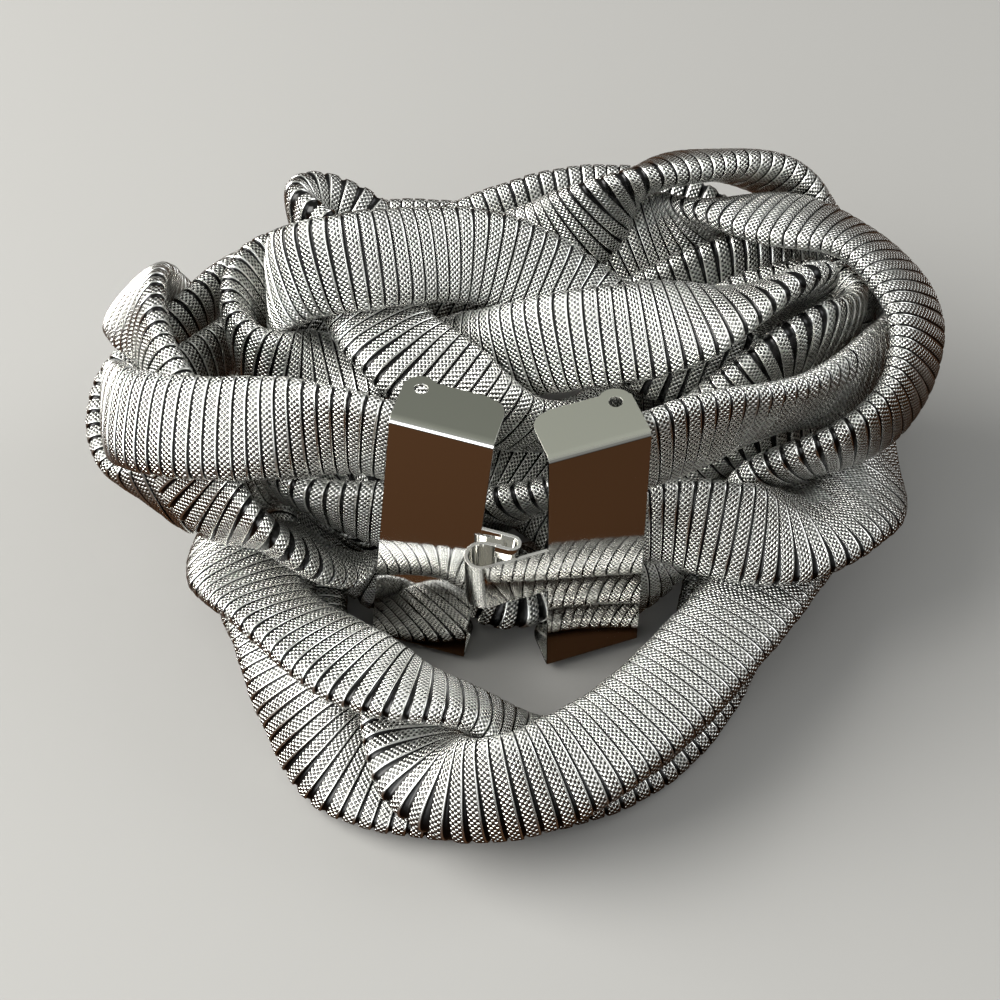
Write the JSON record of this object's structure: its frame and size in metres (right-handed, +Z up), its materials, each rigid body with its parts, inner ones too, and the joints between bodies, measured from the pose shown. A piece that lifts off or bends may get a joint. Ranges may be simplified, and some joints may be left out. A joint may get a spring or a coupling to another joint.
{
  "type": "plaited metal belt",
  "caption": "Plaited stretch belt of flattened ribbed metal tubes with a two-part sheet-metal hook clasp, lying folded in a heap.",
  "frame": {"origin": "middle of the heap's bounding box, on the surface it lies on", "axes": "+X to the right along the clasp's opening direction, +Y away from the viewer, +Z up"},
  "size_m": [0.1288, 0.1134, 0.053],
  "materials": {
    "ribbed_metal": "bright silver, finely ribbed",
    "clasp_metal": "mirror polished"
  },
  "bodies": {
    "root": {"tube_a": "ribbed_metal", "tube_b": "ribbed_metal", "tube_c": "ribbed_metal", "clasp_tab_half": "clasp_metal", "clasp_hook_half": "clasp_metal"}
  },
  "joints": []
}
